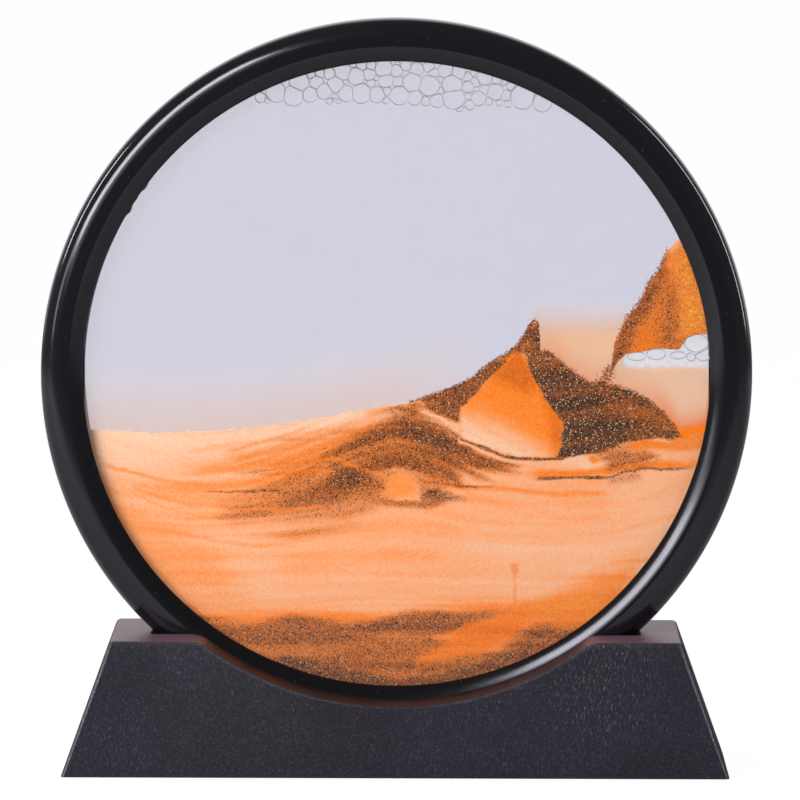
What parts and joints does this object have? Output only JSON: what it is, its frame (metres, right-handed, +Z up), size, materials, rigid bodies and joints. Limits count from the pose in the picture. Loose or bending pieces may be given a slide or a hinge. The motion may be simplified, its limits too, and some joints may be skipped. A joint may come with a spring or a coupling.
{
  "type": "moving sand art frame",
  "caption": "Round glass cell of liquid, coloured sand and bubbles in a black ring frame that turns in, and lifts out of, a slotted trapezoid base.",
  "frame": {"origin": "on the table under the middle of the base", "axes": "+Z up, -Y towards the viewer of the front pane, +X to that viewer's right"},
  "size_m": [0.178, 0.044, 0.1887],
  "materials": {
    "bezel": "gloss",
    "base": "satin",
    "glass": "polished",
    "cushion": "matte",
    "seal": "satin",
    "spacer": "satin",
    "plug": "matte",
    "liquid": "polished",
    "pale_sand": "matte",
    "dark_sand": "matte",
    "orange_sand": "matte",
    "film": "polished",
    "screw": "satin",
    "foot": "matte"
  },
  "bodies": {
    "base": {"base_shell": "base", "base_plate": "base", "plate_screw_front_left": "screw", "plate_screw_front_right": "screw", "plate_screw_rear_left": "screw", "plate_screw_rear_right": "screw", "foot_pad_front_left": "foot", "foot_pad_front_right": "foot", "foot_pad_rear_left": "foot", "foot_pad_rear_right": "foot"},
    "floating_foam": {"bubble_foam": "film"},
    "frame": {"front_bezel": "bezel", "rear_bezel": "bezel", "front_pane": "glass", "rear_pane": "glass", "front_cushion": "cushion", "rear_cushion": "cushion", "front_seal": "seal", "rear_seal": "seal", "cell_spacer": "spacer", "filler_plug": "plug", "liquid": "liquid", "dune_sand": "pale_sand", "peak_sand": "dark_sand", "hanging_sand": "orange_sand", "trapped_bubbles": "film"}
  },
  "joints": [
    {"name": "frame_lift", "type": "slide", "parent": "base", "child": "floating_foam", "axis": [0, 0, 1], "range_m": [0, 0.04]},
    {"name": "frame_turn", "type": "hinge", "parent": "floating_foam", "child": "frame", "pos_m": [0, 0, 0.0997], "axis": [0, -1, 0], "continuous": true, "deforming": ["bubble_foam"]}
  ]
}
